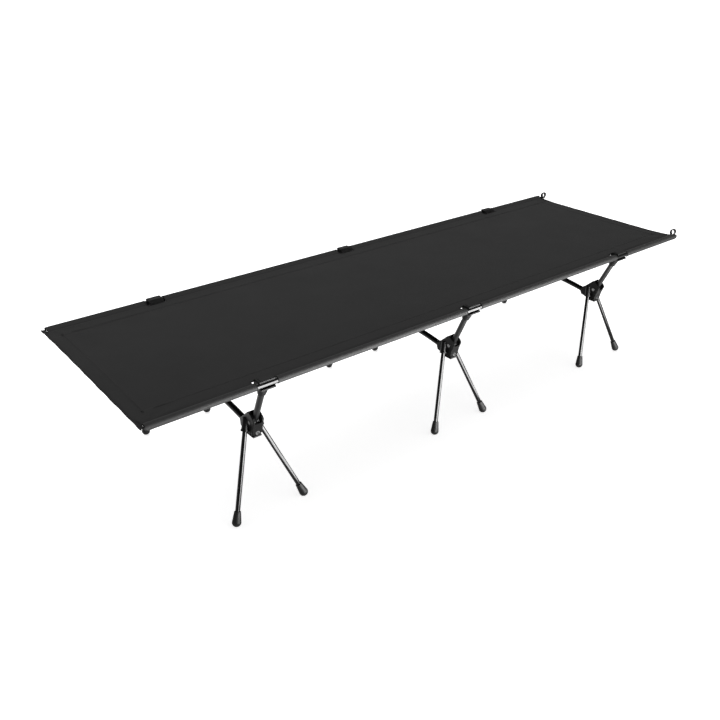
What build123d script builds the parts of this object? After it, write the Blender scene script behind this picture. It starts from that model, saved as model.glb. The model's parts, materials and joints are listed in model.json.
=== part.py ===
from build123d import *
import math
import os

os.makedirs("parts", exist_ok=True)

# Folding camp cot: +X towards the head end, +Y the sleeper's right, +Z up.
# The origin is on the floor under the centre of the bed. All sizes are in millimetres.

# The bed as a whole
fabric_length = 1896.0
rail_spacing = 608.0
rail_height = 386.0
station_spacing = 658.0

# Rail poles
rail_diameter = 16.0
rail_wall = 1.5
rail_segments = 5
segment_gap = 0.4
ferrule_length = 70.0
ferrule_wall = 1.2
cord_diameter = 3.0
cap_reach = 12.0
cap_collar = 1.2
cap_plug_length = 15.0

# Cross tubes and the arc that they follow
cross_diameter = 16.0
cross_wall = 1.5
cross_rise = 17.7
cross_inset = 31.4
cross_drop = 22.8
collar_radius = 12.6
collar_length = 24.0
collar_end = 3.0

# Lever arms: where the pivot and the arm's upper end lie, measured back from the rail's axis
pivot_inset = 76.6
pivot_drop = 138.0
lever_inset = 21.0
lever_drop = 23.0
lever_diameter = 16.0
lever_wall = 1.5
lever_start = 12.0
lever_end = 130.0
eye_radius = 9.5
eye_half_width = 9.0
knuckle_plug_length = 28.0

# Hinge pins
pin_diameter = 6.0
pin_head_radius = 4.8
pin_head_height = 1.3

# Hubs: the cheeks stand either side of the slot that the lever turns in
slot_half_width = 9.3
cheek_thickness = 5.5
slot_floor_gap = 0.6
stop_gap = 0.3
stop_height = 4.5
nose_half_width = 11.0
nose_bottom_drop = 39.0
nose_inner = -23.5
nose_outer = 6.0
low_pad_height = 4.0
low_pad_margin = 1.6
low_pad_edge = 0.8
hub_edge = 1.2
hub_corner = 2.0

# Legs: the axis passes through one point in the hub and one on the floor
leg_diameter = 12.5
leg_wall = 1.2
socket_spread = 24.0
socket_inset = 12.4
socket_drop = 33.0
foot_spread = 103.0
foot_outset = 44.9
socket_depth = 36.0
socket_cap = 3.5
socket_wall = 2.8
socket_mouth = -6.0
socket_lip = 1.7
socket_lip_height = 4.5

# Rubber feet
foot_top_radius = 8.4
foot_radius = 11.8
foot_cone_length = 28.0
foot_cover = 25.0
foot_ball_drop = 11.1

# Rail clamps
clamp_half_length = 21.0
clamp_wall = 3.6
clamp_reach = 23.0
saddle_half_length = 19.5
saddle_thickness = 4.2
saddle_lip = 9.5
clamp_lip = 6.0
clamp_edge = 0.8
clamp_slope_run = 6.0
clamp_slope_drop = 4.6
hook_overlap = 1.0
saddle_edge = 1.5
panel_height = 1.0
panel_margin = 5.0
panel_inset = 2.0
panel_root = 1.0
panel_edge = 0.5
head_width = 27.0
head_depth = 22.0
head_corner = 5.0
head_end_width = 20.6
head_corner_end = 10.1
head_start = 112.0
head_finish = 148.0

# Fabric: a sleeve on each rail with a flat band, and the deck that is sewn on top of the bands
fabric_thickness = 1.2
seam_inset = 60.0
seam_allowance = 6.0
seam_overlap = 4.0
band_width = 112.0
band_overlap = 2.0
deck_lift = 0.5
end_bow = 4.0
window_length = 57.0
window_depth = 27.0
loop_radius = 9.0
loop_thickness = 1.6
loop_width = 6.0
loop_inset = 20.0
loop_rise = 14.2
loop_setback = 0.5

# Clearances, all radial
rail_clearance = 0.1
sleeve_clearance = 0.3
plug_clearance = 0.05
pin_clearance = 0.05
leg_clearance = 0.1
foot_clearance = 0.05
cross_clearance = 0.05

# Places that follow from the sizes
rail_radius = rail_diameter / 2
rail_y = rail_spacing / 2
fabric_half = fabric_length / 2
pivot_y = rail_y - pivot_inset
pivot_z = rail_height - pivot_drop
cheek_half_width = slot_half_width + cheek_thickness
slot_radius = eye_radius + slot_floor_gap
lever_radius = lever_diameter / 2
lever_run = pivot_inset - lever_inset
lever_climb = pivot_drop - lever_drop
lever_tilt = math.atan2(lever_run, lever_climb)
cross_radius = cross_diameter / 2
leg_radius = leg_diameter / 2
leg_bore = leg_radius + leg_clearance
socket_y = pivot_y - socket_inset
socket_z = pivot_z - socket_drop
sleeve_bore = rail_radius + sleeve_clearance
sleeve_radius = sleeve_bore + fabric_thickness
deck_bottom = rail_height + fabric_thickness / 2 + deck_lift
deck_half_width = rail_y - band_width + band_overlap

# The cross tube's arc ends inside the hubs' collars
cross_end_y = pivot_y - cross_inset
cross_end_z = pivot_z - cross_drop
arc_radius = (cross_end_y**2 + cross_rise**2) / (2 * cross_rise)
arc_centre_z = cross_end_z + cross_rise - arc_radius

stations = {"foot": -station_spacing, "middle": 0.0, "head": station_spacing}
sides = {"left": -1, "right": 1}
leg_ways = {"foot": -1, "head": 1}


def save(piece, name):
    piece.label = name
    export_step(piece, f"parts/{name}.step")


def lever_point(along, across=0.0):
    """Distance out from the centre plane, and height, of a point on the lever's own axes."""
    out = pivot_y + along * math.sin(lever_tilt) + across * math.cos(lever_tilt)
    up = pivot_z + along * math.cos(lever_tilt) - across * math.sin(lever_tilt)
    return out, up


def lever_plane(x, side, along):
    out, up = lever_point(along)
    direction = (0, side * math.sin(lever_tilt), math.cos(lever_tilt))
    return Plane(origin=(x, side * out, up), x_dir=(1, 0, 0), z_dir=direction)


def leg_direction(side, way):
    run_x = way * (foot_spread - socket_spread)
    run_y = side * (socket_inset + foot_outset)
    return Vector(run_x, run_y, -socket_z).normalized()


def leg_plane(x, side, way, along):
    """Plane across a leg, at a distance along it from the middle of its socket's height."""
    direction = leg_direction(side, way)
    start = Vector(x + way * socket_spread, side * socket_y, socket_z)
    return Plane(origin=start + direction * along, x_dir=(0, 1, 0), z_dir=direction)


def rod(plane, radius, length):
    with BuildPart() as round_bar:
        with BuildSketch(plane):
            Circle(radius)
        extrude(amount=length)
    return round_bar.part


def arc_rod(x, outer, inner, y_from, y_to):
    """Length of round bar or tube along the cross tube's arc, from a larger y to a smaller one."""
    start = math.asin(y_from / arc_radius)
    sweep_angle = math.degrees(start - math.asin(y_to / arc_radius))
    place = (x, y_from, arc_centre_z + arc_radius * math.cos(start))
    tangent = (0, -math.cos(start), math.sin(start))
    with BuildPart() as arc_bar:
        with BuildSketch(Plane(origin=place, x_dir=(1, 0, 0), z_dir=tangent)):
            Circle(outer)
            if inner:
                Circle(inner, mode=Mode.SUBTRACT)
        revolve(axis=Axis((x, 0, arc_centre_z), (1, 0, 0)), revolution_arc=sweep_angle)
    return arc_bar.part


def prism(x, side, corners, half_length, edge=0.0, rounding=0.0):
    """Solid of one outline, given as distances out from the centre plane and heights."""
    with BuildPart() as bar:
        with BuildSketch(Plane.YZ.offset(x)) as outline:
            with BuildLine():
                Polyline(*[(side * out, up) for out, up in corners], close=True)
            make_face()
            if rounding:
                fillet(outline.vertices(), radius=rounding)
        extrude(amount=half_length, both=True)
        if edge:
            chamfer(bar.faces().filter_by(Axis.X).edges(), length=edge)
    return bar.part


def hub_point(out, up):
    return pivot_y + out, pivot_z + up


def make_hub(name, x, side):
    nose_bottom = -nose_bottom_drop
    block = [
        hub_point(-49.0, -9.0),
        hub_point(-49.0, -30.0),
        hub_point(-27.0, -34.5),
        hub_point(8.0, -34.5),
        hub_point(13.0, -14.0),
        hub_point(23.0, 11.0),
        hub_point(18.0, 18.0),
        hub_point(3.0, 29.0),
        hub_point(-8.0, 27.0),
        hub_point(-26.0, 11.0),
    ]
    nose = [
        hub_point(-26.0, -26.0),
        hub_point(nose_inner, nose_bottom),
        hub_point(nose_outer, nose_bottom),
        hub_point(9.5, -26.0),
    ]
    slot_reach = 60.0
    out_low, up_low = lever_point(0.0, lever_radius + stop_gap)
    out_stop = out_low + stop_height * math.tan(lever_tilt)
    slot = [
        (pivot_y - slot_radius, pivot_z),
        (out_low, up_low),
        (out_stop, up_low + stop_height),
        (pivot_y + slot_reach, up_low + stop_height),
        (pivot_y + slot_reach, pivot_z + slot_reach),
        (pivot_y - slot_radius, pivot_z + slot_reach),
    ]
    pin_radius = pin_diameter / 2
    with BuildPart() as hub:
        add(prism(x, side, block, cheek_half_width, hub_edge, hub_corner))
        add(prism(x, side, nose, nose_half_width, hub_edge))
        collar_start = side * (cross_end_y + collar_end)
        collar_stop = side * (cross_end_y + collar_end - collar_length)
        high, low = max(collar_start, collar_stop), min(collar_start, collar_stop)
        add(arc_rod(x, collar_radius, 0.0, high, low))
        for way in leg_ways.values():
            top = leg_plane(x, side, way, -socket_depth - socket_cap)
            add(rod(top, leg_bore + socket_wall, socket_depth + socket_cap + socket_mouth))
            lip = leg_plane(x, side, way, socket_mouth - socket_lip_height)
            add(rod(lip, leg_bore + socket_wall + socket_lip, socket_lip_height))
        for way in leg_ways.values():
            bore = leg_plane(x, side, way, -socket_depth)
            add(rod(bore, leg_bore, 2 * socket_depth), mode=Mode.SUBTRACT)
        add(prism(x, side, slot, slot_half_width), mode=Mode.SUBTRACT)
        eye_room = Plane(origin=(x - slot_half_width, side * pivot_y, pivot_z), z_dir=(1, 0, 0))
        add(rod(eye_room, slot_radius, 2 * slot_half_width), mode=Mode.SUBTRACT)
        cheeks = Plane(origin=(x - cheek_half_width, side * pivot_y, pivot_z), z_dir=(1, 0, 0))
        add(rod(cheeks, pin_radius + pin_clearance, 2 * cheek_half_width), mode=Mode.SUBTRACT)
        bore_stop = side * (cross_end_y - 2 * collar_length)
        high, low = max(side * cross_end_y, bore_stop), min(side * cross_end_y, bore_stop)
        add(arc_rod(x, cross_radius + cross_clearance, 0.0, high, low), mode=Mode.SUBTRACT)
    save(hub.part, name)


def make_cross_tube(name, x):
    with BuildPart() as cross_tube:
        add(arc_rod(x, cross_radius, cross_radius - cross_wall, cross_end_y, -cross_end_y))
    save(cross_tube.part, name)


def make_hinge_pins():
    with BuildPart() as hinge_pins:
        for x in stations.values():
            for side in sides.values():
                head_x = x - cheek_half_width - pin_head_height
                place = Plane(origin=(head_x, side * pivot_y, pivot_z), z_dir=(1, 0, 0))
                pin_length = 2 * (cheek_half_width + pin_head_height)
                add(rod(place, pin_diameter / 2, pin_length))
                add(rod(place, pin_head_radius, pin_head_height))
                add(rod(place.offset(pin_length - pin_head_height), pin_head_radius, pin_head_height))
    save(hinge_pins.part, "hinge_pins")


def make_low_pads():
    top = -nose_bottom_drop
    bottom = top - low_pad_height
    inner = nose_inner - low_pad_margin
    outer = nose_outer + low_pad_margin
    corners = [(inner, top), (inner, bottom), (outer, bottom), (outer, top)]
    with BuildPart() as low_pads:
        for x in stations.values():
            for side in sides.values():
                outline = [hub_point(out, up) for out, up in corners]
                add(prism(x, side, outline, nose_half_width + low_pad_margin, low_pad_edge))
    save(low_pads.part, "low_mode_pads")


def foot_start(side, way):
    """Distance along the leg from its socket point to the foot's upper rim."""
    fall = -leg_direction(side, way).Z
    return (socket_z - foot_ball_drop) / fall - foot_cone_length


def make_leg_tube(name, x, side, way):
    """Leg tube, from the floor of its socket to the floor of its foot's bore."""
    tube_length = socket_depth + foot_start(side, way) + foot_cover
    with BuildPart() as leg_tube:
        with BuildSketch(leg_plane(x, side, way, -socket_depth)):
            Circle(leg_radius)
            Circle(leg_radius - leg_wall, mode=Mode.SUBTRACT)
        extrude(amount=tube_length)
    save(leg_tube.part, name)


def make_foot(name, x, side, way):
    """Rubber foot: a cone round the tube's end that closes in a ball, cut flat on the floor."""
    top = leg_plane(x, side, way, foot_start(side, way))
    across = top.x_dir
    section = Plane(origin=top.origin, x_dir=across, z_dir=across.cross(top.z_dir))
    bore = leg_radius + foot_clearance
    middle = foot_radius * math.sqrt(0.5)
    with BuildPart() as foot:
        with BuildSketch(section):
            with BuildLine():
                Polyline((0, foot_cover), (bore, foot_cover), (bore, 0), (foot_top_radius, 0),
                         (foot_radius, foot_cone_length))
                ThreePointArc((foot_radius, foot_cone_length),
                              (middle, foot_cone_length + middle),
                              (0, foot_cone_length + foot_radius))
                Line((0, foot_cone_length + foot_radius), (0, foot_cover))
            make_face()
        revolve(axis=Axis(top.origin, top.z_dir))
        under = top.origin + top.z_dir * foot_cone_length
        with BuildSketch(Plane.XY):
            with Locations((under.X, under.Y)):
                Circle(4 * foot_radius)
        extrude(amount=-2 * foot_radius, mode=Mode.SUBTRACT)
    save(foot.part, name)


def rail_plane(x, side):
    return Plane(origin=(x, side * rail_y, rail_height), x_dir=(0, 1, 0), z_dir=(1, 0, 0))


def rail_point(out, up):
    return rail_y + out, rail_height + up


def make_rail_tubes(name, side):
    """The rail's pole segments, end to end with a hair's gap at each joint."""
    pitch = fabric_length / rail_segments
    with BuildPart() as rail_tubes:
        for index in range(rail_segments):
            with BuildSketch(rail_plane(-fabric_half + index * pitch + segment_gap / 2, side)):
                Circle(rail_radius)
                Circle(rail_radius - rail_wall, mode=Mode.SUBTRACT)
            extrude(amount=pitch - segment_gap)
    save(rail_tubes.part, name)


def make_ferrules(name, side):
    pitch = fabric_length / rail_segments
    outer = rail_radius - rail_wall - plug_clearance
    with BuildPart() as ferrules:
        for index in range(1, rail_segments):
            with BuildSketch(rail_plane(-fabric_half + index * pitch - ferrule_length / 2, side)):
                Circle(outer)
                Circle(outer - ferrule_wall, mode=Mode.SUBTRACT)
            extrude(amount=ferrule_length)
    save(ferrules.part, name)


def make_shock_cord(name, side):
    reach = fabric_half - cap_plug_length
    with BuildPart() as shock_cord:
        add(rod(rail_plane(-reach, side), cord_diameter / 2, 2 * reach))
    save(shock_cord.part, name)


def make_end_caps(name, side):
    plug_radius = rail_radius - rail_wall - plug_clearance
    collar = rail_radius + cap_collar
    with BuildPart() as end_caps:
        for way in (-1, 1):
            plug_start = min(way * fabric_half, way * (fabric_half - cap_plug_length))
            add(rod(rail_plane(plug_start, side), plug_radius, cap_plug_length))
            tip = way * (fabric_half + cap_reach)
            add(rod(rail_plane(min(way * fabric_half, tip), side), collar, cap_reach))
            rim = end_caps.edges().filter_by_position(Axis.X, tip - 0.1, tip + 0.1)
            chamfer(rim, length=cap_reach / 4)
    save(end_caps.part, name)


def make_lever_tube(name, x, side):
    with BuildPart() as lever_tube:
        with BuildSketch(lever_plane(x, side, lever_start)):
            Circle(lever_radius)
            Circle(lever_radius - lever_wall, mode=Mode.SUBTRACT)
        extrude(amount=lever_end - lever_start)
    save(lever_tube.part, name)


def make_knuckles(name, side):
    """The levers' lower ends: an eye on the hinge pin and a plug in the tube, three alike."""
    plug_radius = lever_radius - lever_wall - plug_clearance
    pin_bore = pin_diameter / 2 + pin_clearance
    with BuildPart() as knuckles:
        for x in stations.values():
            eye = Plane(origin=(x - eye_half_width, side * pivot_y, pivot_z), z_dir=(1, 0, 0))
            add(rod(eye, eye_radius, 2 * eye_half_width))
            add(rod(lever_plane(x, side, 0.0), lever_radius, lever_start))
            add(rod(lever_plane(x, side, lever_start), plug_radius, knuckle_plug_length))
            add(rod(eye, pin_bore, 2 * eye_half_width), mode=Mode.SUBTRACT)
    save(knuckles.part, name)


def make_clamp(name, x, side):
    """Hook over the rail's upper and inner side, a saddle under it and the lever's socket."""
    bore = rail_radius + rail_clearance
    crown = rail_radius + clamp_wall
    saddle_bottom = -bore - saddle_thickness
    hook = [
        rail_point(clamp_lip, crown),
        rail_point(clamp_slope_run - clamp_reach, crown),
        rail_point(-clamp_reach, crown - clamp_slope_drop),
        rail_point(-clamp_reach, -bore - hook_overlap),
        rail_point(clamp_lip, -bore - hook_overlap),
    ]
    saddle = [
        rail_point(saddle_edge - clamp_reach, -bore),
        rail_point(2 * saddle_edge - clamp_reach, saddle_bottom),
        rail_point(saddle_lip - saddle_edge, saddle_bottom),
        rail_point(saddle_lip, saddle_bottom + saddle_edge),
        rail_point(saddle_lip, -bore),
    ]
    panel_start = panel_margin - clamp_reach + panel_inset
    panel_stop = clamp_lip - panel_inset
    panel = [
        rail_point(panel_start, crown - panel_root),
        rail_point(panel_start, crown + panel_height),
        rail_point(panel_stop, crown + panel_height),
        rail_point(panel_stop, crown - panel_root),
    ]
    mouth_reach = 2 * saddle_lip
    mouth = [
        rail_point(0.0, -bore),
        rail_point(mouth_reach, -bore),
        rail_point(mouth_reach, bore),
        rail_point(0.0, bore),
    ]
    with BuildPart() as clamp:
        add(prism(x, side, hook, clamp_half_length, clamp_edge))
        add(prism(x, side, saddle, saddle_half_length))
        add(prism(x, side, panel, clamp_half_length - panel_margin, panel_edge))
        with BuildSketch(lever_plane(x, side, head_start)):
            RectangleRounded(head_end_width, head_end_width, head_corner_end)
        with BuildSketch(lever_plane(x, side, head_finish)):
            RectangleRounded(head_width, head_depth, head_corner)
        loft()
        bore_end = 2 * clamp_half_length
        add(rod(rail_plane(x - clamp_half_length, side), bore, bore_end), mode=Mode.SUBTRACT)
        add(prism(x, side, mouth, clamp_half_length), mode=Mode.SUBTRACT)
        socket = rod(
            lever_plane(x, side, head_start), lever_radius + plug_clearance, lever_end - head_start
        )
        add(socket, mode=Mode.SUBTRACT)
    save(clamp.part, name)


def tangent_corners(radius, reach):
    """A far point inward of the rail and the two points where its tangents meet the circle."""
    angle = math.acos(radius / reach)
    out = -radius * math.cos(angle)
    up = radius * math.sin(angle)
    return [rail_point(-reach, 0.0), rail_point(out, up), rail_point(out, -up)]


def make_sleeve(name, side):
    """Sleeve round the rail, closed by a seam, with a flat band inward of it and a tape loop at the head end."""
    reach = seam_inset
    room = [tangent_corners(sleeve_radius, reach), tangent_corners(sleeve_bore, reach - seam_allowance)]
    half = fabric_thickness / 2
    band = [
        rail_point(-band_width, -half),
        rail_point(-band_width, half),
        rail_point(seam_overlap - seam_inset, half),
        rail_point(seam_overlap - seam_inset, -half),
    ]
    window = [
        rail_point(-window_depth, -rail_diameter),
        rail_point(-window_depth, rail_diameter),
        rail_point(rail_diameter, rail_diameter),
        rail_point(rail_diameter, -rail_diameter),
    ]
    length = fabric_length
    with BuildPart() as sleeve:
        add(rod(rail_plane(-fabric_half, side), sleeve_radius, length))
        add(prism(0.0, side, room[0], fabric_half))
        add(prism(0.0, side, band, fabric_half))
        add(prism(0.0, side, room[1], fabric_half), mode=Mode.SUBTRACT)
        add(rod(rail_plane(-fabric_half, side), sleeve_bore, length), mode=Mode.SUBTRACT)
        for x in stations.values():
            add(prism(x, side, window, window_length / 2), mode=Mode.SUBTRACT)
        out, up = rail_point(-loop_inset, loop_rise)
        start = fabric_half - loop_width - loop_setback
        place = Plane(origin=(start, side * out, up), x_dir=(0, 1, 0), z_dir=(1, 0, 0))
        with BuildSketch(place):
            Circle(loop_radius)
            Circle(loop_radius - loop_thickness, mode=Mode.SUBTRACT)
        extrude(amount=loop_width)
    save(sleeve.part, name)


def make_deck():
    """The middle of the bed's cover, with both ends bowed inwards by the side tension."""
    corner_x = fabric_half - end_bow * (1 - (deck_half_width / rail_y) ** 2)
    middle_x = fabric_half - end_bow
    with BuildPart() as deck_panel:
        with BuildSketch(Plane.XY.offset(deck_bottom)):
            with BuildLine():
                for way in (-1, 1):
                    ThreePointArc((way * corner_x, -deck_half_width),
                                  (way * middle_x, 0),
                                  (way * corner_x, deck_half_width))
                for side in sides.values():
                    Line((-corner_x, side * deck_half_width), (corner_x, side * deck_half_width))
            make_face()
        extrude(amount=fabric_thickness)
    save(deck_panel.part, "deck_panel")


make_hinge_pins()
make_low_pads()
make_deck()
for side_name, side in sides.items():
    make_rail_tubes(f"{side_name}_rail_tubes", side)
    make_ferrules(f"{side_name}_rail_ferrules", side)
    make_shock_cord(f"{side_name}_rail_shock_cord", side)
    make_end_caps(f"{side_name}_rail_end_caps", side)
    make_sleeve(f"{side_name}_rail_sleeve", side)
    make_knuckles(f"{side_name}_lever_knuckles", side)
for station_name, x in stations.items():
    make_cross_tube(f"{station_name}_cross_tube", x)
    for side_name, side in sides.items():
        corner = f"{station_name}_{side_name}"
        make_hub(f"{corner}_hub", x, side)
        make_lever_tube(f"{corner}_lever_tube", x, side)
        make_clamp(f"{corner}_rail_clamp", x, side)
        for way_name, way in leg_ways.items():
            make_leg_tube(f"{corner}_leg_{way_name}ward", x, side, way)
            make_foot(f"{corner}_foot_{way_name}ward", x, side, way)
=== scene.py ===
import json
import math

import bpy
import numpy as np
from mathutils import Matrix, Vector


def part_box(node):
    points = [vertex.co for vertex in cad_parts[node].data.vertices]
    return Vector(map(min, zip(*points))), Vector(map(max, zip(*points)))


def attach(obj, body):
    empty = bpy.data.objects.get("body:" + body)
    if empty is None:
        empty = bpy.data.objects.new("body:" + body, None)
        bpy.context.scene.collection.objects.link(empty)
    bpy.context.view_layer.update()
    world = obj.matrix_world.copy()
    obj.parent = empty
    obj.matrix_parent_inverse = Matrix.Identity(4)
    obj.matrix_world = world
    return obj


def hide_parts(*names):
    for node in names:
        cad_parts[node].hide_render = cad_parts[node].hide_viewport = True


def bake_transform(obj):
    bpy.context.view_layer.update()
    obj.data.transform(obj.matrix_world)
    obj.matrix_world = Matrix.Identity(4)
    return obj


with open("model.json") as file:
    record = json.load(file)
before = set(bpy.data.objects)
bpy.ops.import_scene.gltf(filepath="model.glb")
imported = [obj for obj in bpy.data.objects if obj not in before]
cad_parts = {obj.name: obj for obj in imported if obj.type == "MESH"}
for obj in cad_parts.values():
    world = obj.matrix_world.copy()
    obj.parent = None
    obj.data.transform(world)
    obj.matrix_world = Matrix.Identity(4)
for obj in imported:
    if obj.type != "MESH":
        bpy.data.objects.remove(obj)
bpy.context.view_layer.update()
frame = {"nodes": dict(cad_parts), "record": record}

nodes = frame["nodes"]
sides = {"left": -1.0, "right": 1.0}
stations = ("foot", "middle", "head")


def boxOf(name):
    low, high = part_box(name)
    return np.array(low), np.array(high)


def verticesOf(name):
    mesh = nodes[name].data
    flat = np.zeros(len(mesh.vertices) * 3, np.float32)
    mesh.vertices.foreach_get("co", flat)
    return flat.reshape(-1, 3).astype(float)


# Places taken from the frame: the rails' axes, the ends and the clamps' stations
railLow, railHigh = boxOf("right_rail_tubes")
railRadius = (railHigh[2] - railLow[2]) / 2
railY = (railLow[1] + railHigh[1]) / 2
railZ = (railLow[2] + railHigh[2]) / 2
coverHalf = boxOf("right_rail_sleeve")[1][0]
capEnd = boxOf("right_rail_end_caps")[1][0]
deckLow, deckHigh = boxOf("deck_panel")
deckZ = (deckLow[2] + deckHigh[2]) / 2
stationX = [sum(boxOf(f"{station}_right_rail_clamp"))[0] / 2 for station in stations]


def smooth(value):
    clipped = np.clip(value, 0.0, 1.0)
    return clipped * clipped * (3 - 2 * clipped)


def unit(vectors):
    return vectors / np.linalg.norm(vectors, axis=-1, keepdims=True)


def gridQuads(rows, columns, wrapColumns=False, wrapRows=False):
    # Faces of a grid of points; a wrapped direction joins its last line to its first
    index = np.arange(rows * columns).reshape(rows, columns)
    if wrapColumns:
        index = np.concatenate([index, index[:, :1]], axis=1)
    if wrapRows:
        index = np.concatenate([index, index[:1]], axis=0)
    corners = [index[:-1, :-1], index[1:, :-1], index[1:, 1:], index[:-1, 1:]]
    return np.stack(corners, axis=-1)


def gridNormals(points):
    # Normal of a grid surface: the cross product of its two directions of travel
    along = np.gradient(points, axis=0)
    across = np.gradient(points, axis=1)
    return unit(np.cross(along, across))


def makePiece(name, points, faces, material, uv=None, sharpDegrees=38):
    used, place = np.unique(np.concatenate([np.ravel(face) for face in faces]), return_inverse=True)
    mesh = bpy.data.meshes.new(name)
    split = np.cumsum([len(face) for face in faces])[:-1]
    polygons = [part.tolist() for part in np.split(place, split)]
    mesh.from_pydata(points[used].tolist(), [], polygons)
    mesh.shade_smooth()
    mesh.set_sharp_from_angle(angle=math.radians(sharpDegrees))
    if uv is not None:
        layer = mesh.uv_layers.new(name="cloth")
        loopVertex = np.zeros(len(mesh.loops), np.int32)
        mesh.loops.foreach_get("vertex_index", loopVertex)
        layer.data.foreach_set("uv", uv[used][loopVertex].astype(np.float32).ravel())
    mesh.materials.append(material)
    piece = bpy.data.objects.new(name, mesh)
    bpy.context.scene.collection.objects.link(piece)
    return piece


def thickenGrid(points, quads, uv, thickness):
    # Two skins half a thickness either side of a grid, joined by a rim along each open edge
    normals = gridNormals(points).reshape(-1, 3)
    middle = points.reshape(-1, 3)
    count = len(middle)
    skins = np.concatenate([middle + normals * thickness / 2, middle - normals * thickness / 2])
    edges = np.concatenate([quads[:, [0, 1]], quads[:, [1, 2]], quads[:, [2, 3]], quads[:, [3, 0]]])
    forward = edges[:, 0] * count + edges[:, 1]
    backward = edges[:, 1] * count + edges[:, 0]
    rim = edges[~np.isin(forward, backward)]
    rimQuads = np.stack([rim[:, 1], rim[:, 0], rim[:, 0] + count, rim[:, 1] + count], axis=-1)
    faces = np.concatenate([quads, quads[:, ::-1] + count, rimQuads])
    return skins, faces, np.concatenate([uv, uv])


def sweepProfile(path, normals, halfWidth, halfHeight, boxy=1.0, ring=12, closed=False, tangents=None):
    # Ring of points carried along a path: across is the width direction, normals the height
    # direction, and boxy below 1 squares the round section off
    if tangents is None:
        if closed:
            tangents = np.roll(path, -1, axis=0) - np.roll(path, 1, axis=0)
        else:
            tangents = np.gradient(path, axis=0)
    across = unit(np.cross(normals, unit(tangents)))
    turn = -2 * np.pi * np.arange(ring) / ring
    wide = np.sign(np.cos(turn)) * np.abs(np.cos(turn)) ** boxy
    tall = np.sign(np.sin(turn)) * np.abs(np.sin(turn)) ** boxy
    width = np.broadcast_to(halfWidth, len(path))[:, None, None]
    height = np.broadcast_to(halfHeight, len(path))[:, None, None]
    offset = across[:, None] * wide[None, :, None] * width + normals[:, None] * tall[None, :, None] * height
    points = (path[:, None] + offset).reshape(-1, 3)
    quads = gridQuads(len(path), ring, wrapColumns=True, wrapRows=closed).reshape(-1, 4)
    faces = list(quads)
    if not closed:
        faces.append(np.arange(ring))
        faces.append(np.arange(ring)[::-1] + ring * (len(path) - 1))
    steps = np.linalg.norm(np.diff(path, axis=0), axis=1)
    length = np.concatenate([[0.0], np.cumsum(steps)])
    perimeter = 4 * (np.max(halfWidth) + np.max(halfHeight)) * np.arange(ring) / ring
    uv = np.stack(np.meshgrid(length, perimeter, indexing="ij"), axis=-1).reshape(-1, 2)
    return points, faces, uv


def joinParts(parts):
    # Several (points, faces, uv) lists as one
    faces = []
    start = 0
    for points, partFaces, uv in parts:
        faces += [np.asarray(face) + start for face in partFaces]
        start += len(points)
    return np.concatenate([p[0] for p in parts]), faces, np.concatenate([p[2] for p in parts])


class Wire:
    # An output socket that can be used in arithmetic; each operator adds one Math node
    def __init__(self, shade, socket):
        self.shade = shade
        self.socket = socket

    def math(self, operation, *values):
        return self.shade.node("ShaderNodeMath", {"operation": operation}, dict(enumerate(values)))

    def __add__(self, other):
        return self.math("ADD", self, other)

    def __sub__(self, other):
        return self.math("SUBTRACT", self, other)

    def __rsub__(self, other):
        return self.math("SUBTRACT", other, self)

    def __mul__(self, other):
        return self.math("MULTIPLY", self, other)

    def __truediv__(self, other):
        return self.math("DIVIDE", self, other)

    __radd__ = __add__
    __rmul__ = __mul__

    def absolute(self):
        return self.math("ABSOLUTE", self)

    def cosine(self):
        return self.math("COSINE", self)

    def clamped(self):
        return self.shade.node("ShaderNodeClamp", {}, {0: self})


class Shade:
    # One material: node() adds a node, sets its settings, then its inputs, and returns an output
    def __init__(self, name):
        self.material = bpy.data.materials.new(name)
        self.material.use_nodes = True
        self.tree = self.material.node_tree
        self.surface = self.tree.nodes["Principled BSDF"]

    def node(self, kind, settings=None, inputs=None, output=0):
        made = self.tree.nodes.new(kind)
        for key, value in (settings or {}).items():
            if key == "stops":
                self.setStops(made.color_ramp, value)
            else:
                setattr(made, key, value)
        for key, value in (inputs or {}).items():
            self.put(made.inputs[key], value)
        return Wire(self, made.outputs[output])

    def setStops(self, ramp, stops):
        while len(ramp.elements) < len(stops):
            ramp.elements.new(1.0)
        for element, (position, level) in zip(ramp.elements, stops):
            element.position = position
            element.color = (level, level, level, 1.0)

    def put(self, socket, value):
        if isinstance(value, Wire):
            self.tree.links.new(value.socket, socket)
        else:
            socket.default_value = value

    def set(self, **values):
        for key, value in values.items():
            self.put(self.surface.inputs[key.replace("_", " ")], value)

    def objectPlace(self):
        return self.node("ShaderNodeTexCoord", output="Object")

    def noise(self, place, scale, detail=2.0):
        return self.node("ShaderNodeTexNoise", {}, {"Vector": place, "Scale": scale, "Detail": detail})

    def stretched(self, place, scale):
        return self.node("ShaderNodeMapping", {}, {"Vector": place, "Scale": scale})

    def axis(self, place, number):
        parts = self.tree.nodes.new("ShaderNodeSeparateXYZ")
        self.put(parts.inputs[0], place)
        return Wire(self, parts.outputs[number])

    def mixColour(self, factor, first, second):
        settings = {"data_type": "RGBA"}
        return self.node("ShaderNodeMix", settings, {0: factor, 6: first, 7: second}, output=2)

    def bump(self, height, strength, distance):
        inputs = {"Height": height, "Strength": strength, "Distance": distance}
        self.put(self.surface.inputs["Normal"], self.node("ShaderNodeBump", {}, inputs))


def grey(value, warmth=0.0):
    return (value * (1 + warmth), value, value * (1 - warmth), 1.0)


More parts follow.
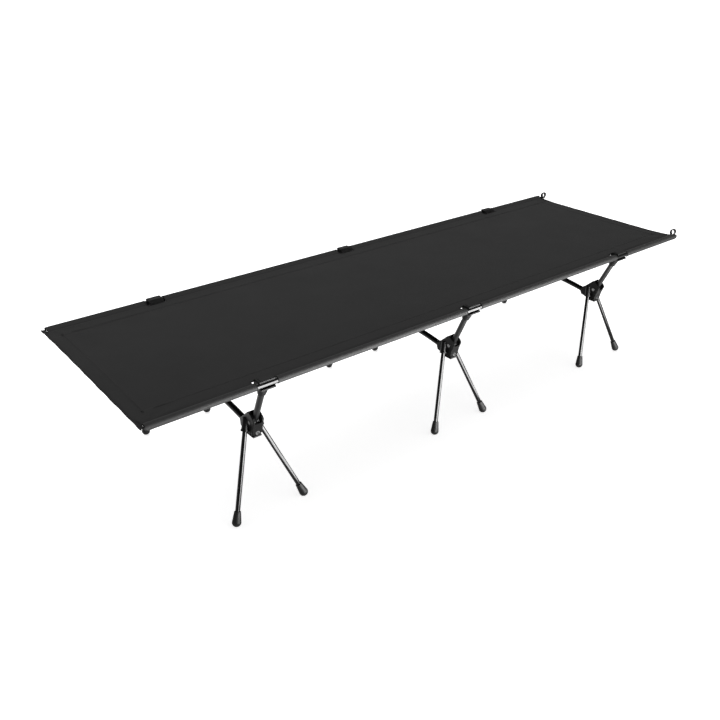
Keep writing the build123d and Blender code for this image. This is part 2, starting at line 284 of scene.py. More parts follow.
fabricFinish = {
    "roughness": 0.70,
    "roughnessRange": 0.12,
    "specular": 0.10,
    "sheen": 0.01,
    "sheenRoughness": 0.4,
    "cloudScale": 9.0,
    "yarnScale": (60.0, 900.0, 900.0),
    "cloudShare": 0.55,
    "yarnShare": 0.35,
    "weaveShare": 0.25,
    "toneShift": 0.1,
    "yarnRelief": 0.6,
    "bumpStrength": 0.35,
    "bumpDepth": 0.00012,
}


def makeFabric(name, pitch, dark, light, crest=None):
    # Plain weave: over and under threads alternate as the product of two cosines
    finish = fabricFinish
    shade = Shade(name)
    uv = shade.node("ShaderNodeUVMap", {"uv_map": "cloth"})
    warp = (shade.axis(uv, 0) * (math.pi / pitch)).cosine()
    weft = (shade.axis(uv, 1) * (math.pi / pitch)).cosine()
    weave = (warp * weft).absolute()
    place = shade.objectPlace()
    clouds = shade.noise(place, finish["cloudScale"], 3.0)
    yarn = shade.noise(shade.stretched(place, finish["yarnScale"]), 1.0)
    threads = yarn * finish["yarnShare"] + weave * finish["weaveShare"]
    tone = (clouds * finish["cloudShare"] + threads - finish["toneShift"]).clamped()
    colour = shade.mixColour(tone, grey(dark), grey(light))
    if crest:
        # Painted highlight: the cloth is lightened along the rail's crest, where the light catches the
        # sleeve; a point attribute says where
        edge = shade.node("ShaderNodeAttribute", {"attribute_name": "crest"}, output=2)
        colour = shade.mixColour(edge, colour, grey(crest))
    shade.set(Base_Color=colour, Specular_IOR_Level=finish["specular"])
    shade.set(Roughness=finish["roughness"] + finish["roughnessRange"] * (clouds - 0.5))
    shade.set(Sheen_Weight=finish["sheen"], Sheen_Roughness=finish["sheenRoughness"])
    shade.bump(weave + yarn * finish["yarnRelief"], finish["bumpStrength"], finish["bumpDepth"])
    return shade.material


plasticFinish = {
    "grainScale": 1600.0,
    "slowScale": 35.0,
    "scuffStops": ((0.60, 0.0), (0.72, 1.0)),
    "grainShare": 0.4,
    "slowShare": 0.6,
    "roughnessRange": 0.10,
    "scuffRoughness": 0.06,
    "bumpDepth": 0.00015,
}


def makePlastic(name, dark, light, roughness, grain, specular=0.4):
    # Moulded plastic: spark-eroded grain, slow tone changes and a few scuffs
    finish = plasticFinish
    shade = Shade(name)
    place = shade.objectPlace()
    fine = shade.noise(place, finish["grainScale"])
    slow = shade.noise(place, finish["slowScale"], 3.0)
    scuff = shade.node("ShaderNodeValToRGB", {"stops": finish["scuffStops"]}, {0: slow})
    tone = (fine * finish["grainShare"] + slow * finish["slowShare"]).clamped()
    shade.set(Base_Color=shade.mixColour(tone, grey(dark), grey(light)), Specular_IOR_Level=specular)
    uneven = finish["roughnessRange"] * (slow - 0.5) + scuff * finish["scuffRoughness"]
    shade.set(Roughness=roughness + uneven)
    shade.bump(fine, grain, finish["bumpDepth"])
    return shade.material


tubeFinish = {
    "slowScale": 22.0,
    "fineScale": 700.0,
    "slowRoughness": 0.05,
    "fineRoughness": 0.04,
    "bumpStrength": 0.06,
    "bumpDepth": 0.00005,
}


def makeTube(name, dark, light, roughness, specular):
    # Anodised tube: slow changes of tone and gloss with a faint grain
    finish = tubeFinish
    shade = Shade(name)
    place = shade.objectPlace()
    slow = shade.noise(place, finish["slowScale"])
    fine = shade.noise(place, finish["fineScale"])
    uneven = finish["slowRoughness"] * (slow - 0.5) + finish["fineRoughness"] * (fine - 0.5)
    shade.set(Base_Color=shade.mixColour(slow, grey(dark), grey(light)))
    shade.set(Roughness=roughness + uneven, Specular_IOR_Level=specular)
    shade.bump(fine, finish["bumpStrength"], finish["bumpDepth"])
    return shade.material


rubberFinish = {
    "fineScale": 1100.0,
    "slowScale": 70.0,
    "dustTone": 0.09,
    "dustWarmth": 0.06,
    "dustShare": 0.5,
    "roughness": 0.50,
    "slowRoughness": 0.2,
    "dustRoughness": 0.2,
    "specular": 0.10,
    "bumpStrength": 0.25,
    "bumpDepth": 0.0002,
}


def makeRubber(name, dark, light, dustHeight):
    # Rubber: dull and fine grained, paler with dust where it meets the ground
    finish = rubberFinish
    shade = Shade(name)
    place = shade.objectPlace()
    height = shade.axis(place, 2)
    fine = shade.noise(place, finish["fineScale"])
    slow = shade.noise(place, finish["slowScale"])
    dust = ((1 - height / dustHeight).clamped() * slow).clamped()
    colour = shade.mixColour((fine * 0.5 + slow * 0.5).clamped(), grey(dark), grey(light))
    dusty = grey(finish["dustTone"], finish["dustWarmth"])
    shade.set(Base_Color=shade.mixColour(dust * finish["dustShare"], colour, dusty))
    uneven = finish["slowRoughness"] * (slow - 0.5) + finish["dustRoughness"] * dust
    shade.set(Roughness=finish["roughness"] + uneven, Specular_IOR_Level=finish["specular"])
    shade.bump(fine, finish["bumpStrength"], finish["bumpDepth"])
    return shade.material


metalFinish = {
    "grainScale": (2500.0, 300.0, 300.0),
    "darkShare": 0.85,
    "roughnessRange": 0.1,
    "bumpStrength": 0.05,
    "bumpDepth": 0.00005,
}


def makeBareMetal(name, tone, roughness):
    # Turned metal: a fine grain round the part
    finish = metalFinish
    shade = Shade(name)
    fine = shade.noise(shade.stretched(shade.objectPlace(), finish["grainScale"]), 1.0)
    shade.set(Base_Color=shade.mixColour(fine, grey(tone * finish["darkShare"]), grey(tone)), Metallic=1.0)
    shade.set(Roughness=roughness + finish["roughnessRange"] * (fine - 0.5))
    shade.bump(fine, finish["bumpStrength"], finish["bumpDepth"])
    return shade.material


braidFinish = {"scale": 900.0, "roughness": 0.8, "bumpStrength": 0.4, "bumpDepth": 0.0003}


def makeBraid(name, dark, light):
    # Braided cord: small raised cells
    finish = braidFinish
    shade = Shade(name)
    inputs = {"Vector": shade.objectPlace(), "Scale": finish["scale"]}
    weave = shade.node("ShaderNodeTexVoronoi", {}, inputs)
    shade.set(Base_Color=shade.mixColour(weave, grey(dark), grey(light)), Roughness=finish["roughness"])
    shade.bump(weave, finish["bumpStrength"], finish["bumpDepth"])
    return shade.material


# The cover's crest tone is a painted highlight along the rails
fabric = makeFabric("coverFabric", pitch=0.00075, dark=0.0080, light=0.0115, crest=0.018)
webbing = makeFabric("tapeWebbing", pitch=0.0016, dark=0.0025, light=0.007)
# Near-black cloth laid into the shadowed corner slits: painted shade
slitShadeCloth = makeFabric("paintedShadeNylon", pitch=0.0009, dark=0.0015, light=0.003)
thread = makePlastic("stitchThread", dark=0.004, light=0.010, roughness=0.7, grain=0.2, specular=0.1)
rivetPlastic = makePlastic("rivetPlastic", dark=0.07, light=0.13, roughness=0.45, grain=0.15,
                           specular=0.10)
nodeMaterials = {
    "cross_tube": makeTube("crossTubeBlack", dark=0.0015, light=0.0030, roughness=0.28, specular=0.12),
    "lever_tube": makeTube("leverSatin", dark=0.006, light=0.011, roughness=0.36, specular=0.16),
    "leg_footward": makeTube("legGloss", dark=0.0015, light=0.003, roughness=0.11, specular=0.17),
    "rail_tubes": makeTube("railGloss", dark=0.003, light=0.005, roughness=0.13, specular=0.17),
    "foot_footward": makeRubber("footRubber", dark=0.006, light=0.014, dustHeight=0.012),
    "low_mode_pads": makeRubber("padRubber", dark=0.003, light=0.007, dustHeight=0.0001),
    "rail_clamp": makePlastic("clampPlastic", dark=0.005, light=0.014, roughness=0.50, grain=0.60,
                              specular=0.05),
    "hub": makePlastic("hubPlastic", dark=0.0008, light=0.0050, roughness=0.34, grain=0.80, specular=0.08),
    "lever_knuckles": makePlastic("knucklePlastic", dark=0.005, light=0.009, roughness=0.4, grain=0.25),
    "rail_end_caps": makePlastic("capPlastic", dark=0.0010, light=0.0025, roughness=0.50, grain=0.25,
                                 specular=0.05),
    "rail_shock_cord": makeBraid("shockCord", dark=0.01, light=0.05),
    "rail_ferrules": makeBareMetal("ferruleAluminium", tone=0.75, roughness=0.3),
    "hinge_pins": makeBareMetal("pinSteel", tone=0.16, roughness=0.34),
}
nodeMaterials["leg_headward"] = nodeMaterials["leg_footward"]
nodeMaterials["foot_headward"] = nodeMaterials["foot_footward"]
for nodeName, node in nodes.items():
    for ending, material in nodeMaterials.items():
        if nodeName.endswith(ending):
            for slot in node.material_slots:
                slot.material = material
print("materials: on", len(nodes), "frame nodes")


cover = {
    "thickness": 0.0005,
    "wrapGap": 0.0006,
    "wrapPoints": 26,
    "stitchInset": 0.016,
    "stitchDrop": 0.0001,
    "bandInset": 0.062,
    "bandRise": 0.0007,
    "lowerDrop": 0.0014,
    "windowHalf": 0.0285,
    "windowDepth": 0.027,
    "hemWidth": 0.037,
    "hemRise": 0.0007,
    "seamSlope": 0.0014,
    "grooveDepth": 0.0003,
    "grooveInset": 0.0035,
    "grooveWidth": 0.0012,
    "dipReach": 0.008,
    "tip": {-1: 0.0065, 1: 0.0070},
    "skew": {-1: 0.0020, 1: -0.0020},
    "bow": {-1: 0.0010, 1: 0.0245},
    "bowPower": {-1: 2.0, 1: 9.0},
    "bowReach": 0.16,
    "edgeWave": 0.0006,
    "edgeWaveRate": 78.0,
    "slant": 0.0070,
    "slantAbove": 0.002,
    "slantReach": 0.010,
    "notchDepth": 0.0105,
    "notchReach": 0.050,
    "notchFull": 0.018,
    "notchRamp": 0.060,
    "mouthDrop": 0.0008,
    "mouthReach": 0.004,
    "sag": 0.0012,
    "columns": 211,
    "sharpDegrees": 50,
}
wrapRadius = railRadius + cover["wrapGap"]
stitchOut = railY - cover["stitchInset"]
stitchZ = deckZ - cover["stitchDrop"]
bandOut = railY - cover["bandInset"]
windowOut = railY - cover["windowDepth"]
alongBed = np.array([1.0, 0.0, 0.0])
acrossBed = np.array([0.0, 1.0, 0.0])
upward = np.array([0.0, 0.0, 1.0])


def tangentAngle(radius, inset, rise):
    # Angle from the crest at which a line from a point inset and rise away touches the circle
    return math.asin(radius / math.hypot(inset, rise)) - math.atan2(rise, inset)


def wrapSection(inset, topRise, lowRise):
    # Round the rail: angles run from the inner upper side over the crest to the inner lower side
    first = -tangentAngle(wrapRadius, inset, topRise)
    last = math.pi + tangentAngle(wrapRadius, inset, -lowRise)
    angles = np.linspace(first, last, cover["wrapPoints"])
    return railY + wrapRadius * np.sin(angles), railZ + wrapRadius * np.cos(angles)


def endLine(out, way, sign):
    # Half length of the cover at a distance out: its ends are drawn in between the rails, stand
    # slightly askew and ripple a little
    part = np.minimum(out, railY) / railY
    wave = cover["edgeWave"] * (np.cos(out * cover["edgeWaveRate"]) - 1)
    bow = cover["bow"][way] * (1 - part ** cover["bowPower"][way])
    return capEnd + cover["tip"][way] + cover["skew"][way] * sign * part ** 2 - bow + wave


def endSlant(up):
    # The sleeve's end is cut back below the rail's axis
    return cover["slant"] * smooth((railZ + cover["slantAbove"] - up) / cover["slantReach"])


def notch(out):
    # Slit between the hem and the sleeve's end, deepest by the rail
    reach = cover["notchReach"]
    return cover["notchDepth"] * smooth((out - railY + reach) / (reach - cover["notchFull"]))


wrinkle = {
    "height": 0.00085,
    "fanCount": 11,
    "fanTurn": 1.4,
    "fanReach": 0.17,
    "fanClear": 0.06,
    "fanShare": 1.1,
    "ripplePitch": 0.046,
    "rippleSpread": 0.10,
    "rippleReach": 0.06,
    "rippleStart": 0.027,
    "rippleRamp": 0.02,
    "rippleShare": 0.5,
    "slowAlong": (9.0, 5.0),
    "slowAcross": (3.0, 17.0),
    "slowTurn": 0.7,
    "slowShare": 0.5,
}


def wrinkles(x, out):
    # Tension lines: fans that run from each corner, and short ripples along the rails that
    # gather near the clamps, all fading towards the middle of the bed
    reach = coverHalf - np.abs(x)
    inward = railY - out
    distance = np.hypot(reach, inward)
    angle = np.arctan2(reach, inward)
    rays = np.cos(wrinkle["fanCount"] * angle + wrinkle["fanTurn"] * np.sign(x))
    fan = rays * np.exp(-distance / wrinkle["fanReach"]) * smooth(distance / wrinkle["fanClear"])
    fade = np.exp(-inward / wrinkle["rippleReach"])
    clear = smooth((inward - wrinkle["rippleStart"]) / wrinkle["rippleRamp"])
    ripple = np.zeros_like(x + out)
    for place in stationX:
        local = np.exp(-(((x - place) / wrinkle["rippleSpread"]) ** 2))
        ripple = ripple + np.cos((x - place) * 2 * np.pi / wrinkle["ripplePitch"]) * local * fade * clear
    along, across = wrinkle["slowAlong"], wrinkle["slowAcross"]
    slow = np.sin(x * along[0] + out * along[1])
    slow = slow * np.sin(out * across[1] + x * across[0] + wrinkle["slowTurn"])
    shares = wrinkle["fanShare"] * fan + wrinkle["rippleShare"] * ripple + wrinkle["slowShare"] * slow
    return wrinkle["height"] * shares


def topHeight(x, out):
    # The upper face: flat, raised over the folded side band and end hem, sagging a little in
    # the middle, and drawn down along its seams
    fromEnd = coverHalf - np.abs(x)
    band = cover["bandRise"] * smooth((out - bandOut) / cover["seamSlope"])
    hem = cover["hemRise"] * smooth((cover["hemWidth"] - fromEnd) / cover["seamSlope"])
    sag = cover["sag"] * (1 - (out / railY) ** 2) * (1 - (np.abs(x) / coverHalf) ** 4)
    fromGroove = (out - bandOut - cover["grooveInset"]) / cover["grooveWidth"]
    groove = cover["grooveDepth"] * np.exp(-(fromGroove ** 2))
    height = deckZ + np.maximum(band, hem) - sag - groove + wrinkles(x, out)
    nearRail = smooth((out - stitchOut + cover["dipReach"]) / cover["dipReach"])
    return height * (1 - nearRail) + stitchZ * nearRail


def coverSection():
    # Distances out and starting heights along the section, from the middle of the bed to the
    # lower seam, and the number of points on the upper face
    flat = np.concatenate([
        np.linspace(0.0, bandOut - 0.012, 17),
        bandOut + np.array([-0.005, -0.001, 0.0005, 0.0015, 0.0025, 0.0035, 0.0045, 0.006, 0.011]),
        np.linspace(railY - 0.045, windowOut, 4),
        stitchOut - np.array([0.008, 0.0055, 0.0035, 0.0018, 0.0]),
    ])
    lowZ = deckZ - cover["lowerDrop"]
    over, up = wrapSection(cover["stitchInset"], stitchZ - railZ, lowZ - railZ)
    under = np.concatenate([stitchOut - np.array([0.0, 0.004, 0.008]),
                            np.linspace(windowOut, bandOut - 0.002, 6)])
    out = np.concatenate([flat, over, under])
    heights = np.concatenate([np.zeros(len(flat)), up, np.full(len(under), lowZ)])
    return out, heights, len(flat)


def coverColumns():
    # Places along the bed, closer together at the ends, the hems and the windows
    steps = [np.linspace(-coverHalf, coverHalf, cover["columns"])]
    for way in (-1, 1):
        steps.append(way * (coverHalf - np.array([0.0015, 0.004, 0.007, 0.011, 0.016, 0.022])))
        steps.append(way * (coverHalf - cover["hemWidth"] + np.array([0.0, 0.0005, 0.001, 0.0015, 0.003])))
    for place in stationX:
        edge = cover["windowHalf"]
        steps.append(place + np.array([-edge - 0.003, -edge, edge, edge + 0.003]))
    columns = np.unique(np.round(np.concatenate(steps), 5))
    keep = np.ones(len(columns), bool)
    keep[1:-1] = np.diff(columns)[:-1] > 0.0003
    return columns[keep]


crestHighlightShape = {
    "railReach": 0.0125,
    "railFade": 0.003,
    "lowest": 0.004,
    "rise": 0.006,
    "seamShare": 0.25,
    "seamInset": 0.0015,
    "seamFade": 0.0025,
}


def paintCrestHighlight(piece):
    # Marks the painted highlight where the cloth lies over the rail's crest, and a faint lighter line along
    # the band's seam
    place = np.zeros(len(piece.data.vertices) * 3, np.float32)
    piece.data.vertices.foreach_get("co", place)
    place = place.reshape(-1, 3)
    out = np.abs(place[:, 1])
    up = place[:, 2] - railZ
    near = smooth((crestHighlightShape["railReach"] - np.hypot(out - railY, up)) / crestHighlightShape["railFade"])
    # Painted highlight: the top of the sleeve over the rail
    crest = near * smooth((up + crestHighlightShape["lowest"]) / crestHighlightShape["rise"])
    fromSeam = np.abs(out - bandOut - crestHighlightShape["seamInset"])
    seam = crestHighlightShape["seamShare"] * smooth(1 - fromSeam / crestHighlightShape["seamFade"])
    attribute = piece.data.attributes.new("crest", "FLOAT", "POINT")
    attribute.data.foreach_set("value", np.maximum(crest, seam).astype(np.float32))


def makeCover(side, sign):
    # Half of the cover: places along the bed by points of the section
    out, heights, flatCount = coverSection()
    columns = coverColumns()
    x, across = np.meshgrid(columns, out, indexing="ij")
    up = np.broadcast_to(heights, x.shape).copy()
    up[:, :flatCount] = topHeight(x[:, :flatCount], across[:, :flatCount])
    fromEnd = coverHalf - np.abs(x)
    endX = np.where(x < 0, endLine(across, -1, sign), endLine(across, 1, sign))
    drawn = (coverHalf - endX) * smooth(1 - fromEnd / cover["bowReach"])
    slit = (notch(across) + endSlant(up)) * smooth(1 - fromEnd / cover["notchRamp"])
    shaped = x - np.sign(x) * (drawn + slit)
    mouth = cover["mouthDrop"] * np.exp(-fromEnd / cover["mouthReach"])
    points = np.stack([shaped, sign * across, up - mouth], axis=-1)
    steps = np.hypot(np.diff(out), np.diff(up[len(columns) // 2]))
    length = np.concatenate([[0.0], np.cumsum(steps)])
    quads = gridQuads(len(columns), len(out))
    middleX = (columns[1:] + columns[:-1]) / 2
    inWindow = np.min(np.abs(middleX[:, None] - np.array(stationX)[None]), axis=1) < cover["windowHalf"]
    middleOut = np.maximum(out[1:], out[:-1])
    keep = ~(inWindow[:, None] & (middleOut > windowOut + 1e-5)[None])
    if sign < 0:
        quads = quads[..., ::-1]
    quads = quads[keep]
    uv = np.stack(np.meshgrid(columns, length, indexing="ij"), axis=-1).reshape(-1, 2)
    if sign < 0:
        # Mirrored half: its normals are turned so that the outer skin still faces outwards
        flipped = points[::-1]
        rowTurn = np.arange(len(columns) * len(out)).reshape(len(columns), len(out))[::-1].ravel()
        place = np.empty_like(rowTurn)
        place[rowTurn] = np.arange(len(rowTurn))
        skins, faces, allUv = thickenGrid(flipped, place[quads], uv[rowTurn], cover["thickness"])
    else:
        skins, faces, allUv = thickenGrid(points, quads, uv, cover["thickness"])
    piece = makePiece(f"{side}_cover", skins, list(faces), fabric, allUv, cover["sharpDegrees"])
    paintCrestHighlight(piece)
    return piece, length[-1]


stitches = {
    "length": 0.0032,
    "pitch": 0.0042,
    "width": 0.0006,
    "height": 0.0005,
    "endInset": 0.016,
    "bandRows": (0.002, 0.0055),
    "railRow": 0.0004,
    "windowClear": 0.003,
    "hemInset": 0.003,
    "hemStart": 0.002,
    "hemStop": 0.004,
    "bartackCount": 15,
    "bartackPitch": 0.0007,
    "bartackInset": 0.004,
    "bartackLift": 0.0004,
    "bartackLength": 0.0042,
    "bartackWidth": 0.0007,
}


def stitchParts(centres, along, length, width):
    # Each stitch is three square rings, small at both ends, lying on the cloth
    reach = np.array([-0.5, 0.0, 0.5])
    scale = np.array([0.4, 1.0, 0.4])
    corner = np.array([[-0.5, -0.4], [0.5, -0.4], [0.5, 0.6], [-0.5, 0.6]])
    across = np.cross(upward, along)
    body = centres[:, None, None] + along[:, None, None] * (reach * length)[None, :, None, None]
    ring = (across[:, None, None] * (corner[:, 0] * width)[None, None, :, None]
            + upward * (corner[:, 1] * stitches["height"])[None, None, :, None])
    points = (body + ring * scale[None, :, None, None]).reshape(-1, 3)
    walls = gridQuads(3, 4, wrapColumns=True).reshape(-1, 4)
    caps = np.array([[0, 1, 2, 3], [11, 10, 9, 8]])
    shape = np.concatenate([walls[:, ::-1], caps[:, ::-1]])
    faces = (shape[None] + 12 * np.arange(len(centres))[:, None, None]).reshape(-1, 4)
    return points, list(faces), np.zeros((len(points), 2))


def stitchRow(x, out, sign, heading):
    # A row of stitches that lies on the upper face
    centres = np.stack([x, sign * out, topHeight(x, out) + cover["thickness"] / 2], axis=-1)
    along = np.broadcast_to(heading, centres.shape)
    return stitchParts(centres, along, stitches["length"], stitches["width"])


def hemLine(out, way, sign):
    # Place along the bed of the end hem's stitching
    return way * (endLine(out, way, sign) - (cover["hemWidth"] - stitches["hemInset"]))


def makeStitching(side, sign):
    # Two rows beside the band's seam, one by the rail with gaps at the clamps, the end hems'
    # rows and a bar tack at each corner
    reach = coverHalf - stitches["endInset"]
    steps = np.arange(-reach, reach, stitches["pitch"])
    rows = [stitchRow(steps, np.full_like(steps, bandOut + inset), sign, alongBed)
            for inset in stitches["bandRows"]]
    fromClamp = np.min(np.abs(steps[:, None] - np.array(stationX)[None]), axis=1)
    clear = steps[fromClamp > cover["windowHalf"] + stitches["windowClear"]]
    rows.append(stitchRow(clear, np.full_like(clear, stitchOut - stitches["railRow"]), sign, alongBed))
    count = stitches["bartackCount"]
    tack = bandOut + stitches["bartackInset"] + (np.arange(count) - count / 2) * stitches["bartackPitch"]
    for way in (-1, 1):
        out = np.arange(stitches["hemStart"], bandOut - stitches["hemStop"], stitches["pitch"])
        rows.append(stitchRow(hemLine(out, way, sign), out, sign, acrossBed))
        x = np.full(count, hemLine(bandOut, way, sign))
        centres = np.stack([x, sign * tack, topHeight(x, tack) + stitches["bartackLift"]], axis=-1)
        along = np.broadcast_to(alongBed, centres.shape)
        rows.append(stitchParts(centres, along, stitches["bartackLength"], stitches["bartackWidth"]))
    points, faces, _ = joinParts(rows)
    return makePiece(f"{side}_cover_stitching", points, faces, thread)


endBinding = {
    "halfWidth": 0.0036,
    "halfHeight": 0.0008,
    "boxy": 0.45,
    "ring": 14,
    "straightEnd": 0.06,
    "straightPoints": 14,
    "curveStart": 0.052,
    "curvePoints": 16,
    "inset": 0.0026,
    "past": 0.0070,
    "blunt": 0.0015,
    "taper": 0.0160,
    "tipShare": 0.05,
    "tipShift": 0.0010,
    "shiftReach": 0.03,
    "lift": 0.0002,
    "tipDrop": 0.0010,
    "dropStart": 0.05,
    "dropReach": 0.055,
    "sharpDegrees": 60,
}


def makeEndBinding(side, sign, way):
    # Tape folded over the cover's end; past the slit it runs on by itself, closes the sleeve's
    # mouth in front of the rail's plug and narrows to a point
    tape = endBinding
    tip = railY + tape["past"]
    out = np.concatenate([np.linspace(0.0, railY - tape["straightEnd"], tape["straightPoints"]),
                          np.linspace(railY - tape["curveStart"], tip, tape["curvePoints"])])
    narrow = np.sqrt(np.clip((tip + tape["blunt"] - out) / tape["taper"], tape["tipShare"], 1.0))
    shift = tape["tipShift"] * smooth((out - railY + tape["shiftReach"]) / tape["shiftReach"])
    drop = tape["tipDrop"] * smooth((out - railY + tape["dropStart"]) / tape["dropReach"])
    x = endLine(out, way, sign) - tape["inset"] + shift
    path = np.stack([way * x, sign * out, deckZ + tape["lift"] - drop], axis=-1)
    normals = unit(np.cross(way * alongBed, np.gradient(path, axis=0)) * sign * way)
    points, faces, uv = sweepProfile(path, normals, tape["halfWidth"] * narrow, tape["halfHeight"],
                                     tape["boxy"], tape["ring"])
    name = "foot" if way < 0 else "head"
    return makePiece(f"{side}_{name}_end_binding", points, faces, webbing, uv, tape["sharpDegrees"])


windowBinding = {
    "halfWidth": 0.0014,
    "halfHeight": 0.0008,
    "boxy": 0.6,
    "ring": 10,
    "edgePoints": 12,
    "sharpDegrees": 60,
}


def makeWindowBindings(side, sign):
    # Tape round each window's edge: across the upper face, round the rail's sleeve and back
    out, heights, flatCount = coverSection()
    first = int(np.argmin(np.abs(out[:flatCount] - windowOut)))
    last = len(out) - 1 - int(np.argmin(np.abs(out[::-1][:8] - windowOut)))
    section = np.arange(first, last + 1)
    parts = []
    for place in stationX:
        up = heights.copy()
        up[:flatCount] = topHeight(np.full(flatCount, place), out[:flatCount])
        ridge = np.stack([out[section], up[section]], axis=-1)
        heading = unit(np.gradient(ridge, axis=0))
        outward = np.stack([-heading[:, 1], heading[:, 0]], axis=-1)
        edge = cover["windowHalf"]
        inner = np.linspace(-edge, edge, windowBinding["edgePoints"])[1:-1]
        sideOn = np.concatenate([np.column_stack([np.full(len(section), place + edge), ridge]),
                                 np.column_stack([place - inner, np.tile(ridge[-1], (len(inner), 1))]),
                                 np.column_stack([np.full(len(section), place - edge), ridge[::-1]]),
                                 np.column_stack([place + inner, np.tile(ridge[0], (len(inner), 1))])])
        lift = np.concatenate([outward, np.tile(outward[-1], (len(inner), 1)), outward[::-1],
                               np.tile(outward[0], (len(inner), 1))])
        path = sideOn * np.array([1.0, sign, 1.0])
        normals = np.column_stack([np.zeros(len(lift)), sign * lift[:, 0], lift[:, 1]])
        order = slice(None) if sign > 0 else slice(None, None, -1)
        parts.append(sweepProfile(path[order], normals[order], windowBinding["halfWidth"],
                                  windowBinding["halfHeight"], windowBinding["boxy"],
                                  windowBinding["ring"], closed=True))
    points, faces, uv = joinParts(parts)
    return makePiece(f"{side}_window_bindings", points, faces, webbing, uv, windowBinding["sharpDegrees"])


slitShadeCut = {
    "thickness": 0.0004,
    "margin": 0.004,
    "longest": 0.025,
    "loss": 0.0145,
    "lossStart": 0.016,
    "lossReach": 0.005,
    "shortest": 0.001,
    "rows": 8,
    "columns": 22,
}


def makeSlitShades(side, sign):
    # Painted shade: a dark nylon sheet laid into the slit at each corner, under the end of the sleeve,
    # stands in for the shadow there
    cutOut = slitShadeCut
    inner = railY - cover["notchReach"] - cutOut["margin"]
    out = np.linspace(inner, railY + cutOut["margin"], cutOut["columns"])
    part, across = np.meshgrid(np.linspace(1.0, 0.0, cutOut["rows"]), out, indexing="ij")
    loss = cutOut["loss"] * smooth((across - railY + cutOut["lossStart"]) / cutOut["lossReach"])
    depth = cutOut["shortest"] + part * (cutOut["longest"] - loss - cutOut["shortest"])
    quads = gridQuads(*part.shape).reshape(-1, 4)
    uv = np.stack([depth, across], axis=-1).reshape(-1, 2)
    parts = []
    for way in (-1, 1):
        x = endLine(across, way, sign) - depth
        z = np.full_like(x, deckZ - cover["lowerDrop"] / 2)
        points = np.stack([way * x, sign * across, z], axis=-1)
        if sign * way < 0:
            points = points[::-1]
        skins, faces, allUv = thickenGrid(points, quads, uv, cutOut["thickness"])
        parts.append((skins, list(faces), allUv))
    points, faces, uv = joinParts(parts)
    return makePiece(f"{side}_corner_slit_shades", points, faces, slitShadeCloth, uv)


tapeLoop = {
    "radius": 0.0078,
    "stretch": 1.06,
    "halfWidth": 0.0056,
    "halfHeight": 0.0016,
    "boxy": 0.5,
    "ring": 12,
    "pathPoints": 26,
    "footHeight": 0.0006,
    "footStep": 0.0005,
    "openAngle": 0.62,
    "ahead": 0.0105,
    "outward": {"left": 0.0130, "right": 0.0},
    "tilt": 0.25,
    "sharpDegrees": 60,
}


def makeTapeLoop(side, sign):
    # Loop of tape standing on the hem: two feet and most of a circle, in a plane across the bed
    boxes = {o["name"]: o for o in frame["record"]["physics"]["openings"]}
    centre = np.mean(boxes[f"{side}_corner_loop"]["box_m"], axis=0)
    opening = tapeLoop["openAngle"]
    turn = np.linspace(1.5 * np.pi - opening, -0.5 * np.pi + opening, tapeLoop["pathPoints"])
    ringY = centre[1] + sign * tapeLoop["outward"][side] + tapeLoop["radius"] * np.cos(turn)
    ringZ = centre[2] + tapeLoop["radius"] * np.sin(turn) * tapeLoop["stretch"]
    foot = deckZ + tapeLoop["footHeight"]
    step = tapeLoop["footStep"]
    y = np.concatenate([[ringY[0] - step], ringY, [ringY[-1] + step]])
    z = np.concatenate([[foot], ringZ, [foot]])
    x = centre[0] + tapeLoop["ahead"] + tapeLoop["tilt"] * (z - foot - tapeLoop["radius"])
    path = np.stack([x, y, z], axis=-1)
    normals = unit(np.cross(np.gradient(path, axis=0), alongBed))
    points, faces, uv = sweepProfile(path, normals, tapeLoop["halfWidth"], tapeLoop["halfHeight"],
                                     tapeLoop["boxy"], tapeLoop["ring"])
    return makePiece(f"{side}_head_tape_loop", points, faces, webbing, uv, tapeLoop["sharpDegrees"])


plug = {
    "reach": (-0.0120, -0.0005, -0.0005, 0.0030, 0.0050, 0.0055),
    "radius": (0.0060, 0.0060, 0.0080, 0.0080, 0.0066, 0.0030),
    "ring": 32,
}


def makeEndPlugs(side, sign):
    # Small domed plugs in the rail's ends: a stepped profile turned about the rail's axis
    radius = np.array(plug["radius"])
    parts = []
    for way in (-1, 1):
        path = np.tile([0.0, sign * railY, railZ], (len(radius), 1))
        path[:, 0] = way * (railHigh[0] + np.array(plug["reach"]))
        axis = np.tile(way * alongBed, (len(radius), 1))
        normals = np.tile(upward, (len(radius), 1))
        parts.append(sweepProfile(path, normals, radius, radius, ring=plug["ring"], tangents=axis))
    points, faces, uv = joinParts(parts)
    return makePiece(f"{side}_rail_plugs", points, faces, nodeMaterials["rail_end_caps"], uv)


boss = {
    "rise": 0.0095,
    "reach": (-0.0040, 0.0022, 0.0032, 0.0032, 0.0020, 0.0020),
    "radius": (0.0060, 0.0060, 0.0052, 0.0034, 0.0028, 0.0010),
    "ring": 28,
    "noseHeight": 0.002,
    "standOff": 0.0012,
}


def makeBosses():
    # Round rivet heads on the hubs' noses: a stepped profile turned about the outward axis
    parts = []
    reach = np.array(boss["reach"])
    radius = np.array(boss["radius"])
    for station in stations:
        for side, sign in sides.items():
            shape = verticesOf(f"{station}_{side}_hub")
            bottom = shape[:, 2].min()
            nose = shape[shape[:, 2] < bottom + boss["noseHeight"]]
            centreX = (shape[:, 0].min() + shape[:, 0].max()) / 2
            face = np.abs(nose[:, 1]).max() + boss["standOff"]
            centre = np.array([centreX, sign * face, bottom + boss["rise"]])
            axis = sign * acrossBed
            path = centre + reach[:, None] * axis
            normals = np.tile(upward, (len(reach), 1))
            tangents = np.tile(axis, (len(reach), 1))
            parts.append(sweepProfile(path, normals, radius, radius, ring=boss["ring"], tangents=tangents))
    points, faces, uv = joinParts(parts)
    return makePiece("hub_nose_rivets", points, faces, rivetPlastic, uv)


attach(makeBosses(), "base")
print("hubs: rivet heads added")

